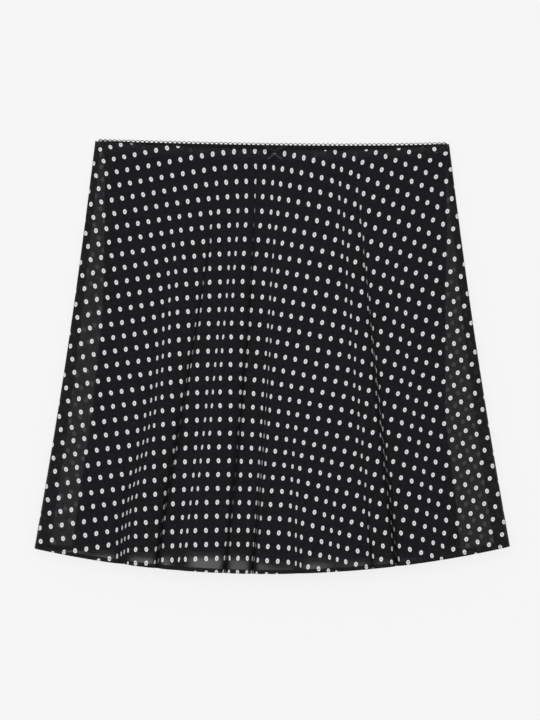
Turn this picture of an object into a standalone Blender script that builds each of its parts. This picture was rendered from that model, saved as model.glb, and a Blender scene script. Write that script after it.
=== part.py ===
"""A sheer A-line mini skirt with an opaque slip lining, lying flat on its back panel.

Axes: X runs across the skirt, +Y runs up to the waist, +Z rises from the surface it lies on.
The origin is on that surface, under the middle of the skirt. The tables are in millimetres.
The layers, from the surface up: back panel, back lining, front lining, front panel.
"""

import math
from collections import namedtuple

import bmesh
import bpy

MM = 0.001

# Sizes of the skirt as it lies
WAIST_HALF = 168.1  # half of the flat width at the waist edge
HEM_HALF = 225.8  # half of the flat width at the hem corners
SIDE_HOLLOW = 2.6  # how far each side curves in from a straight line
WAIST_Y = 203.3  # the back waist edge, on a straight line from end to end
WAIST_TILT = 0.0086  # how far that line drops for each unit to the right
BACK_DIP = 2.4  # how far the back waist edge hangs below it, at the middle
FRONT_DROP = 0.8  # how far the front waist edge lies below the back one at the sides
FRONT_DIP = 3.9  # how much further it hangs at the middle
DIP_LEAN = 0.35  # the share by which both hang further on the right and less on the left
HEM_Y = -205.7  # the lowest point of the front hem
HEM_TILT = 0.0043  # how far the hem rises for each unit to the right
HEM_CURVE = 24.7  # how far the hem rises from the middle to its corners

# The cloth
WALL = 1.0
GAP = 0.3
LAYER = WALL + GAP
HEM_DEEP = 4.0  # the turned hem
ELASTIC_DEEP = 9.0
ELASTIC_INSET = 3.0  # how far the elastic stops short of each side fold
HEM_INSET = 3.2  # the same for the turned back hem

# The front panel stands up off the lining, more towards the hem
FRONT_LOW = 3 * LAYER + WALL  # its outer face where it lies on the lining
RISE_WAIST = 0.6
RISE_HEM = 12.5
RISE_CURVE = 1.9
DOME_DROP = 0.6  # the share of the rise that is lost at the sides
DOME_POWER = 4
ROLL_WAIST = 3.5  # how far the side fold reaches in from the edge
ROLL_HEM = 5.5
DEPTH_SHARE = 0.25  # the depth of a fold for each unit of cloth that it takes up
FOLD_DEEPEST = 0.7  # the most of the rise that a fold may take away
FOLD_SPREAD = 1.2  # the width of a fold's hollow against the width of its crease

# The largest folds of the front panel, from left to right. A fold begins at "start", is at its
# full size from "full" on, both shares of the length, and takes up that much of the cloth's width.
# Its crease runs from x "waist" to x "hem", and its middle lies "bow" off the straight line. Close to
# the hem it turns aside, and ends "kick" further right.
KICK_FROM = 0.82
Fold = namedtuple("Fold", "start full take_up waist hem bow width kick", defaults=(0.0,))
FRONT_FOLDS = (
    Fold(0.15, 1.00, 29.5, -89, -153, 16, 5.0, 11.0),
    Fold(0.05, 0.90, 27.5, -46, -112, 2, 2.5, 3.0),
    Fold(0.05, 0.30, 9.5, -24, -90, 5, 4.5),
    Fold(0.00, 0.60, 19.5, -14, -45, 4, 2.5),
    Fold(0.00, 1.00, 22.5, 2, -19, 5, 2.5),
    Fold(0.55, 1.00, 13.0, 21, 25, -5, 4.0),
    Fold(0.65, 0.95, 7.5, 40, 61, -5, 8.0),
    Fold(0.00, 0.15, 9.0, 62, 95, -1, 3.5),
    Fold(0.00, 0.65, 29.0, 78, 118, -1, 2.2),
    Fold(0.15, 0.35, 3.5, 97, 159, -2, 7.0),
)

# Low ridges where the back panel and the lining stand off the surface, each as high as "height"
# at the hem, and level again at "reach" on both sides
Ridge = namedtuple("Ridge", "start height waist hem reach")
BACK_RIDGES = (
    Ridge(0.10, 3.2, -125, -170, 15),
    Ridge(0.25, 2.6, -50, -134, 14),
    Ridge(0.30, 3.0, 31, 43, 13),
    Ridge(0.15, 3.2, 132, 146, 15),
)

# The side edges of the lining, at shares of the length
LiningEdge = namedtuple("LiningEdge", "along left right")
LINING_EDGES = (
    LiningEdge(0.00, -159.5, 164.5),
    LiningEdge(0.20, -159.0, 166.0),
    LiningEdge(0.40, -161.0, 164.5),
    LiningEdge(0.65, -171.0, 164.2),
    LiningEdge(0.85, -183.5, 174.5),
    LiningEdge(1.00, -192.0, 180.0),
)

# The back hem lies above the front hem, most of all left of the middle
HemLift = namedtuple("HemLift", "height x spread")
BACK_HEM_MARGIN = 1.4
BACK_HEM_LIFTS = (
    HemLift(5.0, -155, 32),
    HemLift(16.5, -64, 80),
    HemLift(-5.0, 8, 18),
    HemLift(10.0, 60, 75),
)
FRONT_LINING_SHORT = 3.0  # how far the front lining stops above the back hem
BACK_LINING_SHORT = HEM_DEEP + 2 * GAP

# The ribbon bow at the middle of the front waist
BOW_X = 2.4
BOW_Y = 194.3
BOW_Z = FRONT_LOW + 1.7  # the underside of the bow, just clear of the panel
KNOT = (3.2, 3.6, 3.4)
KNOT_ROUND = 0.8
RIBBON = 3.2
LOOP_LONG = 8.6
LOOP_HIGH = 3.2
LOOP_ARC = 8
LOOP_TURN = 30  # degrees that each loop rises
TAIL_WIDE = 2.4
TAIL_LONG = 8.0
TAIL_TURN = 36  # degrees that each tail drops

# How finely each piece is divided
LENGTH_STEPS = 10
ROLL_STEPS = 4
FOLD_STEPS = (8, 9, 8, 8, 7, 8, 8, 8, 7, 9, 8)  # between neighbouring creases
RIDGE_STATIONS = (-1, -0.65, -0.33, 0, 0.33, 0.65, 1)  # across a ridge, as shares of its reach
LEVEL_STEPS = 4  # between neighbouring ridges
BACK_LENGTH_STEPS = 8
STRIP_STEPS = 20


def material(name, colour, roughness):
    made = bpy.data.materials.new(name)
    made.use_nodes = True
    shader = made.node_tree.nodes["Principled BSDF"]
    shader.inputs["Base Color"].default_value = (*colour, 1.0)
    shader.inputs["Roughness"].default_value = roughness
    shader.inputs["Metallic"].default_value = 0.0
    return made


def show(name, form, finish):
    """Makes a form of corners and faces into an object, with its faces turned outwards."""
    form.normal_update()
    bmesh.ops.recalc_face_normals(form, faces=form.faces)
    mesh = bpy.data.meshes.new(name)
    form.to_mesh(mesh)
    form.free()
    mesh.materials.append(material(name, *finish))
    mesh.shade_smooth()
    piece = bpy.data.objects.new(name, mesh)
    bpy.context.scene.collection.objects.link(piece)


CHIFFON = ((0.019, 0.019, 0.021), 0.75)
LINING = ((0.010, 0.010, 0.011), 0.6)
ELASTIC = ((0.014, 0.013, 0.012), 0.8)
SATIN = ((0.016, 0.016, 0.017), 0.35)


def between(low, high, share):
    return low + (high - low) * share


def hollow(distance):
    """1 at the middle, falling away smoothly on both sides."""
    return 1 / math.cosh(distance) ** 2


def swell(distance):
    """1 at the middle, falling to nothing at a distance of 1 on both sides."""
    return (1 + math.cos(math.pi * min(1, abs(distance)))) / 2


# The outline


def half_width(along):
    straight = between(WAIST_HALF, HEM_HALF, along)
    return straight - SIDE_HOLLOW * math.sin(math.pi * along)


def waist_dip(x):
    share = x / WAIST_HALF
    return (1 + DIP_LEAN * share) * max(0, 1 - share**2)


def back_waist(x):
    return WAIST_Y - WAIST_TILT * x - BACK_DIP * waist_dip(x)


def front_waist(x):
    return back_waist(x) - FRONT_DROP - FRONT_DIP * waist_dip(x)


def front_hem(x):
    return HEM_Y + HEM_TILT * x + HEM_CURVE * (x / HEM_HALF) ** 2


def back_hem(x):
    lifts = sum(lift.height * math.exp(-(((x - lift.x) / lift.spread) ** 2)) for lift in BACK_HEM_LIFTS)
    return front_hem(x) + BACK_HEM_MARGIN + lifts


# The height of the cloth


def crease(fold, along):
    aside = max(0, (along - KICK_FROM) / (1 - KICK_FROM)) ** 2
    return between(fold.waist, fold.hem, along) + fold.bow * 4 * along * (1 - along) + fold.kick * aside


def taken_up(fold, along):
    grown = (along - fold.start) / (fold.full - fold.start)
    return fold.take_up * min(1, max(0, grown))


def front_height(x, along):
    """The outer face of the front panel between its side folds."""
    rise = between(RISE_WAIST, RISE_HEM, 1 - (1 - along) ** RISE_CURVE)
    rise *= 1 - DOME_DROP * abs(x / half_width(along)) ** DOME_POWER
    height = rise
    for fold in FRONT_FOLDS:
        share = min(FOLD_DEEPEST, DEPTH_SHARE * taken_up(fold, along) / rise)
        height *= 1 - share * hollow((x - crease(fold, along)) / (fold.width * FOLD_SPREAD))
    return FRONT_LOW + height


def bed(x, along):
    """The height of the back panel's underside."""
    height = 0
    for ridge in BACK_RIDGES:
        grown = max(0, (along - ridge.start) / (1 - ridge.start))
        distance = x - between(ridge.waist, ridge.hem, along)
        height += ridge.height * grown * swell(distance / ridge.reach)
    return height


# Where the columns of a piece lie


def eased(count):
    """Shares from 0 up to 1, closer together at both ends."""
    return [(1 - math.cos(math.pi * step / count)) / 2 for step in range(count)]


def spaced(marks, counts):
    """Stations from the first mark to the last, closest together at the marks."""
    stations = []
    for low, high, count in zip(marks, marks[1:], counts):
        stations += [between(low, high, share) for share in eased(count)]
    return stations + [marks[-1]]


def side_fold(side, shoulder, roll, along):
    """The front panel's section from its side edge, near the back panel, up to its shoulder."""
    top = front_height(side * shoulder, along)
    points = []
    for step in range(ROLL_STEPS):
        turn = math.pi / 2 * step / ROLL_STEPS
        points.append((side * (shoulder + roll * math.cos(turn)), between(LAYER, top, math.sin(turn))))
    return points


def front_section(along):
    """The outer face of the front panel across the skirt: points with the way out of the cloth."""
    half = half_width(along)
    roll = between(ROLL_WAIST, ROLL_HEM, along)
    shoulder = half - roll
    flat = spaced([-shoulder, *(crease(fold, along) for fold in FRONT_FOLDS), shoulder], FOLD_STEPS)
    left, right = (side_fold(side, shoulder, roll, along) for side in (-1, 1))
    points = left + [(x, front_height(x, along)) for x in flat] + right[::-1]
    outward = []
    for i, _ in enumerate(points):
        (x0, z0), (x1, z1) = points[max(i - 1, 0)], points[min(i + 1, len(points) - 1)]
        long = math.hypot(x1 - x0, z1 - z0)
        outward.append(((z0 - z1) / long, (x1 - x0) / long))
    outward[0], outward[-1] = (-1, 0), (1, 0)
    return points, outward


def front_face(depth):
    """Places a point of the front panel, that deep inside the cloth."""

    def place(column, along):
        points, outward = front_section(along)
        (x, z), (out_x, out_z) = points[column], outward[column]
        y = between(front_waist(x), front_hem(x), along)
        return x - depth * out_x, y, z - depth * out_z

    return place


def flat_face(columns, top, bottom, height):
    """Places a point of a piece that lies on the bed, from its top edge to its bottom edge."""

    def place(column, share):
        along = share
        for _ in range(3):  # a column slants, so its x and y settle together
            x = columns(along)[column]
            y = between(top(x), bottom(x), share)
            along = (back_waist(x) - y) / (back_waist(x) - front_hem(x))
        return x, y, bed(x, along) + height

    return place


# The pieces


def raise_copy(form, way):
    """Extrudes all the faces of a form that way, and closes it."""
    copied = bmesh.ops.extrude_face_region(form, geom=form.faces[:], use_keep_orig=True)
    moved = [part for part in copied["geom"] if isinstance(part, bmesh.types.BMVert)]
    bmesh.ops.translate(form, verts=moved, vec=way)


def cloth(name, columns, rows, under, over, finish):
    """A closed wall of cloth: a flat grid is thickened, then each corner is put in its place."""
    form = bmesh.new()
    bmesh.ops.create_grid(form, x_segments=columns, y_segments=len(rows) - 1, size=0.5)
    raise_copy(form, (0, 0, 1))
    for corner in form.verts:
        column = round((corner.co.x + 0.5) * columns)
        row = rows[round((0.5 - corner.co.y) * (len(rows) - 1))]
        side = over if corner.co.z > 0.5 else under
        corner.co = [MM * size for size in side(column, row)]
    show(name, form, finish)


def even(count):
    return [step / count for step in range(count + 1)]


def front_panel():
    columns = len(front_section(0)[0]) - 1
    under = front_face(WALL)
    over = front_face(0)
    cloth("front_panel", columns, even(LENGTH_STEPS), under, over, CHIFFON)
    turned = HEM_DEEP / (front_waist(0) - front_hem(0))
    under = front_face(LAYER + WALL)
    over = front_face(LAYER)
    cloth("front_hem", columns, [1 - turned, 1], under, over, CHIFFON)


def bed_columns(sides):
    """The columns of a piece that lies on the bed, from side to side, closer together at a ridge."""

    def columns(along):
        left, right = sides(along)
        across = []
        for ridge in BACK_RIDGES:
            middle = between(ridge.waist, ridge.hem, along)
            across.append([middle + station * ridge.reach for station in RIDGE_STATIONS])
        stations = [left]
        for group in (*across, [right]):
            last = stations[-1]
            stations += [between(last, group[0], step / LEVEL_STEPS) for step in range(1, LEVEL_STEPS)]
            stations += group
        return stations

    return columns


def bed_cloth(name, sides, top, bottom, layer, rows, finish):
    columns = bed_columns(sides)
    under = flat_face(columns, top, bottom, layer * LAYER)
    over = flat_face(columns, top, bottom, layer * LAYER + WALL)
    cloth(name, len(columns(0)) - 1, rows, under, over, finish)


def panel_sides(along):
    return -half_width(along), half_width(along)


def hem_sides(along):
    return HEM_INSET - half_width(along), half_width(along) - HEM_INSET


def lining_sides(along):
    """The x of the lining's two side edges."""
    for upper, lower in zip(LINING_EDGES, LINING_EDGES[1:]):
        if along <= lower.along:
            break
    share = (along - upper.along) / (lower.along - upper.along)
    return between(upper.left, lower.left, share), between(upper.right, lower.right, share)


def above(edge, distance):
    """An edge moved up by that distance, or down where it is negative."""
    return lambda x: edge(x) + distance


def back_panel():
    rows = even(BACK_LENGTH_STEPS)
    bed_cloth("back_panel", panel_sides, back_waist, back_hem, 0, rows, CHIFFON)
    bed_cloth("back_hem", hem_sides, above(back_hem, HEM_DEEP), back_hem, 1, [0, 1], CHIFFON)


def linings():
    for name, waist, short, layer in (
        ("back_lining", back_waist, BACK_LINING_SHORT, 1),
        ("front_lining", front_waist, FRONT_LINING_SHORT, 2),
    ):
        top = above(waist, -ELASTIC_DEEP - GAP)
        rows = even(BACK_LENGTH_STEPS)
        bed_cloth(name, lining_sides, top, above(back_hem, short), layer, rows, LINING)


def waist_elastics():
    half = WAIST_HALF - ELASTIC_INSET
    stations = [between(-half, half, share) for share in even(STRIP_STEPS)]
    for name, waist, layer in (
        ("waist_elastic_back", back_waist, 1),
        ("waist_elastic_front", front_waist, 2),
    ):
        bottom = above(waist, -ELASTIC_DEEP)
        under = flat_face(lambda _: stations, waist, bottom, layer * LAYER)
        over = flat_face(lambda _: stations, waist, bottom, layer * LAYER + WALL)
        cloth(name, STRIP_STEPS, [0, 1], under, over, ELASTIC)


def loop_outline(inward):
    """The flat ring of a ribbon that is folded back on itself, seen from its edge."""
    radius = LOOP_HIGH / 2
    near = KNOT[0] / 2 + GAP + radius
    far = near + LOOP_LONG - LOOP_HIGH
    points = []
    for middle, first in ((near, 90), (far, -90)):
        for step in range(LOOP_ARC + 1):
            turn = math.radians(first + 180 * step / LOOP_ARC)
            reach = radius - inward
            points.append((middle + reach * math.cos(turn), radius + reach * math.sin(turn)))
    return points


def ribbon_loop(name, side):
    form = bmesh.new()
    outer, inner = (
        [form.verts.new((x, -RIBBON / 2, z)) for x, z in loop_outline(inward)] for inward in (0, WALL)
    )
    for i, _ in enumerate(outer):
        form.faces.new([outer[i - 1], outer[i], inner[i], inner[i - 1]])
    raise_copy(form, (0, RIBBON, 0))
    turn = math.radians(LOOP_TURN)
    for corner in form.verts:
        x, y, z = corner.co
        # The loop rises about its root, whose lower corner stays beside the knot
        x += max(0, y) * math.sin(turn)
        across = BOW_X + side * (x * math.cos(turn) - y * math.sin(turn))
        up = BOW_Y + x * math.sin(turn) + y * math.cos(turn)
        corner.co = [MM * size for size in (across, up, BOW_Z + z)]
    show(name, form, SATIN)


def ribbon_tail(name, side):
    """A short end of ribbon that slants down and out from under the knot."""
    turn = math.radians(TAIL_TURN)
    root_x = GAP + TAIL_WIDE / 2 * math.sin(turn)
    root_y = -KNOT[1] / 2 - GAP - TAIL_WIDE / 2 * math.cos(turn)

    def face(height):
        def place(column, share):
            up = (column - 0.5) * TAIL_WIDE
            out = share * TAIL_LONG
            x = root_x + out * math.cos(turn) + up * math.sin(turn)
            y = root_y - out * math.sin(turn) + up * math.cos(turn)
            return BOW_X + side * x, BOW_Y + y, BOW_Z + height

        return place

    cloth(name, 1, even(2), face(0), face(WALL), SATIN)


def bow_knot():
    form = bmesh.new()
    bmesh.ops.create_cube(form, size=1)
    bmesh.ops.scale(form, vec=[MM * size for size in KNOT], verts=form.verts)
    middle = (BOW_X, BOW_Y, BOW_Z + KNOT[2] / 2)
    bmesh.ops.translate(form, verts=form.verts, vec=[MM * size for size in middle])
    edges = form.edges[:]
    bmesh.ops.bevel(form, geom=edges, offset=KNOT_ROUND * MM, segments=2, affect="EDGES", profile=0.5)
    show("bow_knot", form, SATIN)


def bow():
    bow_knot()
    for name, side in (("left", -1), ("right", 1)):
        ribbon_loop("bow_loop_" + name, side)
        ribbon_tail("bow_tail_" + name, side)


def clear_scene():
    for old in list(bpy.data.objects):
        bpy.data.objects.remove(old)


clear_scene()
front_panel()
back_panel()
linings()
waist_elastics()
bow()
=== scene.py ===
"""A sheer spotted mini skirt that lies flat on a pale floor, seen from straight above.

X runs across the skirt, +Y up to its waist and +Z up from the floor. Tables are in millimetres.
"""

import math
from collections import namedtuple

import bpy
import numpy as np
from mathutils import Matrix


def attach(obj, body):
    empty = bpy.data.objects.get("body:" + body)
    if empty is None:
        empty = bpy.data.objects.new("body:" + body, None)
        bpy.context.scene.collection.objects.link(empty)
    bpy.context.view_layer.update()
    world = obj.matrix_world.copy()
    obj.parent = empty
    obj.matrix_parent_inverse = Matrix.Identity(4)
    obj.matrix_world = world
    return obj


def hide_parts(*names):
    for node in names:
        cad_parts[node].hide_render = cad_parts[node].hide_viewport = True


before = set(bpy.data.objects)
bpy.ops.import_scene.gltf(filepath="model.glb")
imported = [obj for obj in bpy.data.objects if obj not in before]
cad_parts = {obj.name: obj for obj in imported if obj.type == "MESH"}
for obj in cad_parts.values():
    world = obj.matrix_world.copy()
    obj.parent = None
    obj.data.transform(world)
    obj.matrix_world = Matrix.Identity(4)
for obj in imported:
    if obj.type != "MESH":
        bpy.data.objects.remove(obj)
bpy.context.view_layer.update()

MM = 0.001

# ---------------------------------------------------------------------------
# Sizes of the skirt as it lies, the same as those of its solids

WAIST_HALF = 168.1  # half of the width at the waist edge, and at the hem's corners
HEM_HALF = 225.8
SIDE_HOLLOW = 2.6  # how far each side curves in from a straight line
WAIST_Y = 203.3  # the back waist edge, on a straight line from end to end
WAIST_TILT = 0.0086  # how far that line drops for each unit to the right
BACK_DIP = 2.4  # how far the edge hangs below it, at the middle
FRONT_DROP = 0.8  # how far the front waist edge lies below the back one at the sides
FRONT_DIP = 3.9  # how much further it hangs at the middle
DIP_LEAN = 0.35  # the share by which both hang further on the right and less on the left
HEM_Y = -205.7  # the lowest point of the front hem
HEM_TILT = 0.0043  # how far the hem rises for each unit to the right
HEM_CURVE = 24.7  # how far it rises from the middle to its corners
LAYER = 1.3  # from the face of one layer to that of the next
WALL = 1.0
HEM_DEEP = 4.0
ELASTIC_DEEP = 9.0
ELASTIC_INSET = 3.0  # how far the elastic and the turned back hem stop short of each side
HEM_INSET = 3.2

FRONT_LOW = 3 * LAYER + WALL  # the front's outer face where it lies on the lining
RISE_WAIST = 0.6  # how far it stands up off the lining, at the waist and at the hem
RISE_HEM = 12.5
RISE_CURVE = 1.9
DOME_DROP = 0.6  # the share of the rise that is lost at the sides
DOME_POWER = 4
ROLL_WAIST = 3.5  # how far the side fold reaches in from the edge
ROLL_HEM = 5.5
DEPTH_SHARE = 0.25  # the depth of a fold for each unit of cloth that it takes up
FOLD_DEEPEST = 0.7  # the most of the rise that a fold may take away
FOLD_SPREAD = 1.2  # the width of a fold's hollow against the width of its crease

# The largest folds of the front, from left to right. A fold begins at "start", is at its full size
# from "full" on, both shares of the length, and takes up that much of the cloth's width. Its crease
# runs from x "waist" to x "hem", and its middle lies "bow" off the straight line. Near the hem
# it turns aside, and ends "kick" further right. "tuck" is the share of its cloth that the crease
# hides, and "opened" the same at the hem. The crease gets a dark line of painted shade from "line"
# on, and hides cloth from "shut" on, again in shares of the length.
FOLD_COLUMNS = "start full take_up waist hem bow width kick tuck opened line shut"
NO_CREASE_SHADE = 2.0
SHUT_ALL_ALONG = -1.0
Fold = namedtuple("Fold", FOLD_COLUMNS, defaults=(0.0, 0.0, 0.0, NO_CREASE_SHADE, SHUT_ALL_ALONG))
KICK_FROM = 0.82
LINE_OVER = 0.12  # how much of the length a crease's painted shade takes to grow, and a crease to shut
SHUT_OVER = 0.15
OPENS_LATE = 8  # the power of the share of the length with which a crease opens towards the hem
FRONT_FOLDS = (
    Fold(0.15, 1.00, 29.5, -89, -153, 16, 5.0, 11.0),
    Fold(0.05, 0.90, 27.5, -46, -112, 2, 2.5, 3.0, 0.90, 0.20, 0.14, 0.52),
    Fold(0.05, 0.30, 9.5, -24, -90, 5, 4.5),
    Fold(0.00, 0.60, 19.5, -14, -45, 4, 2.5, 0.0, 0.80, 0.20, 0.08),
    Fold(0.00, 1.00, 22.5, 2, -19, 5, 2.5, 0.0, 0.12, 0.12, 0.80),
    Fold(0.55, 1.00, 13.0, 21, 25, -5, 4.0),
    Fold(0.65, 0.95, 7.5, 40, 61, -5, 8.0),
    Fold(0.00, 0.15, 9.0, 62, 95, -1, 3.5, 0.0, 0.00, 0.00, 0.75),
    Fold(0.00, 0.65, 29.0, 78, 118, -1, 2.2, 0.0, 0.40, 0.40, 0.70),
    Fold(0.15, 0.35, 3.5, 97, 159, -2, 7.0),
)
# A broad, shallow gather below the bow that takes up cloth and makes no crease of its own
BOW_GATHER = Fold(0.00, 0.05, 5.0, 2, -35, 16, 17.5)

# Low ridges where the back and the lining stand off the floor, each as high as "height" at the hem,
# and level again at "reach" on both sides
Ridge = namedtuple("Ridge", "start height waist hem reach")
BACK_RIDGES = (
    Ridge(0.10, 3.2, -125, -170, 15),
    Ridge(0.25, 2.6, -50, -134, 14),
    Ridge(0.30, 3.0, 31, 43, 13),
    Ridge(0.15, 3.2, 132, 146, 15),
)

# The side edges of the lining, at shares of the length
LiningEdge = namedtuple("LiningEdge", "along left right")
LINING_EDGES = (
    LiningEdge(0.00, -159.5, 164.5),
    LiningEdge(0.20, -159.0, 166.0),
    LiningEdge(0.40, -161.0, 164.5),
    LiningEdge(0.65, -171.0, 164.2),
    LiningEdge(0.85, -183.5, 174.5),
    LiningEdge(1.00, -192.0, 180.0),
)

# The back hem lies above the front hem, most of all left of the middle
HemLift = namedtuple("HemLift", "height x spread")
BACK_HEM_MARGIN = 1.4
BACK_HEM_LIFTS = (
    HemLift(5.0, -155, 32),
    HemLift(16.5, -64, 80),
    HemLift(-5.0, 8, 18),
    HemLift(10.0, 60, 75),
)
FRONT_LINING_SHORT = 3.0  # how far each lining stops above the back hem
BACK_LINING_SHORT = 4.6

# The ribbon bow
BOW_X = 2.4
BOW_Y = 194.3
BOW_Z = FRONT_LOW + 1.7
KNOT = (3.2, 3.6, 3.4)
RIBBON = 3.2
LOOP_LONG = 8.6
LOOP_HIGH = 3.2
LOOP_TURN = 30  # degrees that each loop rises and each tail drops
TAIL_WIDE = 2.4
TAIL_LONG = 8.0
TAIL_TURN = 36

# ---------------------------------------------------------------------------
# Sizes that only the looks need

CHIFFON_THICK = 0.25
LINING_THICK = 0.3
ELASTIC_THICK = 0.7
RIBBON_THICK = 0.22
SIDE_FOLD_Z = 0.45  # how low the front's side folds reach
SEAM_WAIST = 4.2  # the width of the seam allowance inside each side, at the waist and at the hem
SEAM_HEM = 13.5
SEAM_INSET = 1.0
SEAM_BELOW_WAIST = 2
SEAM_ABOVE_HEM = 1
SEAM_Z = 0.9
TURNED_IN = 7.6  # the front's allowance, turned in at the waist
TURNED_FROM = 0.2  # how far below the waist edge the turned cloth begins
DOUBLED_TO = 1.5  # where the cloth over it no longer looks paler, in lengths of the allowance
PICOT_PITCH = 4.4
PICOT_REACH = 1.85  # from the elastic's edge up to the middle of the loop's thread
PICOT_WIDE = 3.8
PICOT_THREAD = 0.6
PICOT_KNOT = (2.0, 2.6, 0.9)  # the bunched threads between two loops
PICOT_BASE = -0.2  # the elastic's edge, against the waist edge
HEM_FADE = 7.6  # how far below the back hem its painted shadow still dims the front
HEM_SHADE = 2.0  # widths of cloth that this painted shadow is worth, at the back hem
HEM_SHADE_SIDE = 20  # how far it takes to grow, inside each side of the lining
# Painted shade in bands below the back hem, where the front looks darker, in widths of cloth
ShadeBand = namedtuple("ShadeBand", "widths x spread")
HEM_SHADE_BANDS = (ShadeBand(1.5, -87, 8), ShadeBand(0.4, 8, 24), ShadeBand(0.6, 70, 20))
STITCH_PITCH = 2.6
STITCH = (2.0, 0.38, 0.24)
STITCH_ROUND = 0.4  # its bevel, as a share of its thickness
STITCH_UP = 3.3  # above the hem's edge
STITCH_AHEAD = 0.5  # how far ahead the cloth is felt for a stitch's direction

# The ribbon's form in the bow
LOOP_ROOT = 0.9  # how far inside the knot each loop begins
LOOP_WIDTH = (0.55, 0.45)  # its share of the ribbon's width there, and what it gains further out
LOOP_FILLS = 0.6  # the power with which it gains it
LOOP_ROUND = 0.5  # the power with which it gains its height
LOOP_CROWN = 0.12  # how much closer its edges lie than its middle
TAIL_ROOT = 0.4  # how far beside the knot's middle each tail begins, and how far under its edge
TAIL_UNDER = 0.3
TAIL_WIDTH = (0.6, 0.4)  # as for the loops, gained in the first 1 / TAIL_FILLS of its run
TAIL_FILLS = 2.5
TAIL_SLANT = 0.5  # how much longer one side of its cut end is than the middle
TAIL_LIES = (0.75, -0.3, 0.35)  # its height in walls, as powers of the share of its run
TAIL_CUPPED = 0.25  # how much higher its edges lie
KNOT_WRAP = (-80, 260)  # degrees round the knot, from one end of its ribbon to the other
KNOT_HOLLOW = 0.14  # how much thinner the knot is at its ends
KNOT_GATHERS = 0.035  # how high its gathers stand
KNOT_NARROWS = 0.1  # how much narrower it is on top

# How the panels are cut: a ring sector, in which a row of the cloth lies on an arc about its
# middle. "shift" and "stretch" turn a place across the lying skirt into a place along that arc,
# as powers of the share of the length. "ring" turns a place along the skirt into a distance from
# the middle, "slope" adds to it for each half width to the right and "bend" for its square.
# "dip" bends the line near the waist from which that share is measured, and "eased" is the share
# of the easing below that the panel gets.
CUT_EDGE = 203.8
CUT_TILT = 0.0100
CUT_INNER = 394.7
CUT_OUTER = 397.1
CUT_MIDDLE = (121.3, -389.2)
Wave = namedtuple("Wave", "count turn waist halfway hem")
# How the front sags off that sector as it lies: waves across the whole width, by their height
FRONT_SAG = (
    Wave(1, 0, -1.0, 0.5, 4.0),
    Wave(1, 90, 3.5, -0.5, 1.0),
    Wave(2, 0, 2.5, 0.5, 0.5),
    Wave(2, 90, -1.0, 0.0, 1.0),
)
# Where it sags further, or less, in one place
Sag = namedtuple("Sag", "height x along spread reach")
FRONT_SAGS = (
    Sag(2.7, 16, 0.83, 28, 0.12),
    Sag(3.2, -135, 1.00, 30, 0.09),
    Sag(1.5, -92, 0.36, 25, 0.15),
    Sag(-1.1, 50, 0.52, 30, 0.12),
    Sag(-1.8, 136, 0.47, 18, 0.08),
)
# The front is eased along its elastic as it is sewn, which moves the cloth across and up near the
# waist. These are powers of the share of the half width.
EASE_ACROSS = (-3.9, 7.1, 35.0, -11.9, -49.0)
EASE_UP = (1.0, -2.2, -5.9, 3.7, -16.1)
EASE_FADE = 0.05  # how much of the length it fades over
Cut = namedtuple("Cut", "eased dip shift stretch ring slope bend waves sags")
FRONT_CUT = Cut(
    eased=1.0,
    dip=6.4,
    shift=(37.2, 34.2, -12.5),
    stretch=(1.053, -0.027),
    ring=(398.1, 371.5, 46.5, -24.5),
    slope=0.0,
    bend=0.0,
    waves=FRONT_SAG,
    sags=FRONT_SAGS,
)
BACK_CUT = Cut(
    eased=0.0,
    dip=1.7,
    shift=(18.2, -22.4),
    stretch=(1.04,),
    ring=(382.3, 415.5),
    slope=7.8,
    bend=-22.3,
    waves=(),
    sags=(),
)
# The back takes up its cloth on both flanks of each low ridge
BACK_START = 0.1
BACK_TAKE_UP = 25.0
BACK_FLANK = 5.0
BACK_CREASE = 3.0
BACK_TUCK = 0.45
# where the painted shade along the back's creases begins
BACK_SHADE_FROM = 0.5
SIDE_ROLL = 3.6  # the cloth that goes round each side fold, as a radius

# The print
DOT_ACROSS = 10.545  # from dot to dot, in the flat cloth
DOT_DOWN = 13.015
DOT_WIDE = 3.45
DOT_TALL = 4.6
DOT_LEAN = 11  # degrees, to alternate sides

# Fineness
FRONT_ROWS = 104
BED_ROWS = 60
BED_EASE = 1.4  # the back's rows are closer together at the waist
BED_SETTLES = 3  # rounds in which the places across a row settle
BAND_ROWS = 4  # of the turned hems and the elastics
ALLOWANCE_ROWS = 6
STATION_GAP = 1.55  # from column to column, and how many more there are between two marks
STATION_EXTRA = 4
STATION_CLOSER = 0.62  # how much closer together they are at a mark
ROLL_STEPS = 8
STITCH_SHORT = 2  # how many columns inside the side folds the front's stitches stop
LOOP_ROWS = 29
TAIL_ROWS = 12
KNOT_ROWS = 30
RIBBON_COLUMNS = 7
KNOT_COLUMNS = 15
CREASE_SHADE_HALF = 0.75  # half the width of the painted shade along a crease
GATHER_MOST = 8.0  # the most widths of cloth that count at one place
LEAST_STEP = 0.001  # the least distance between two columns, for their widths of cloth

# Camera and light. The lamp's place and the floor's size are in metres.
CAMERA_HEIGHT = 3500
CAMERA_X = -2.1
CAMERA_Y = -3.3
VIEW_TALL = 684.0
SENSOR = 36
CAMERA_FAR = 20
FLOOR_SIZE = 8
FLOOR_Z = -0.0002
FLOOR_GREY = 0.12
FLOOR_GLOW = 0.795  # most of the floor's light is its own, which keeps it even
SKY_LIGHT = 0.9
LAMP_PLACE = (-0.9, 0.9, 2.2)
LAMP_TURN = -22
LAMP_SIZE = 1.6
LAMP_WATTS = 14


def between(low, high, share):
    return low + (high - low) * share


def powers(factors, value):
    return sum(factor * value**n for n, factor in enumerate(factors))


def passing(waist, halfway, hem, along):
    """The smooth curve through three values along the skirt."""
    upper = waist * (1 - along) * (1 - 2 * along)
    middle = halfway * 4 * along * (1 - along)
    return upper + middle + hem * along * (2 * along - 1)


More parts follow.
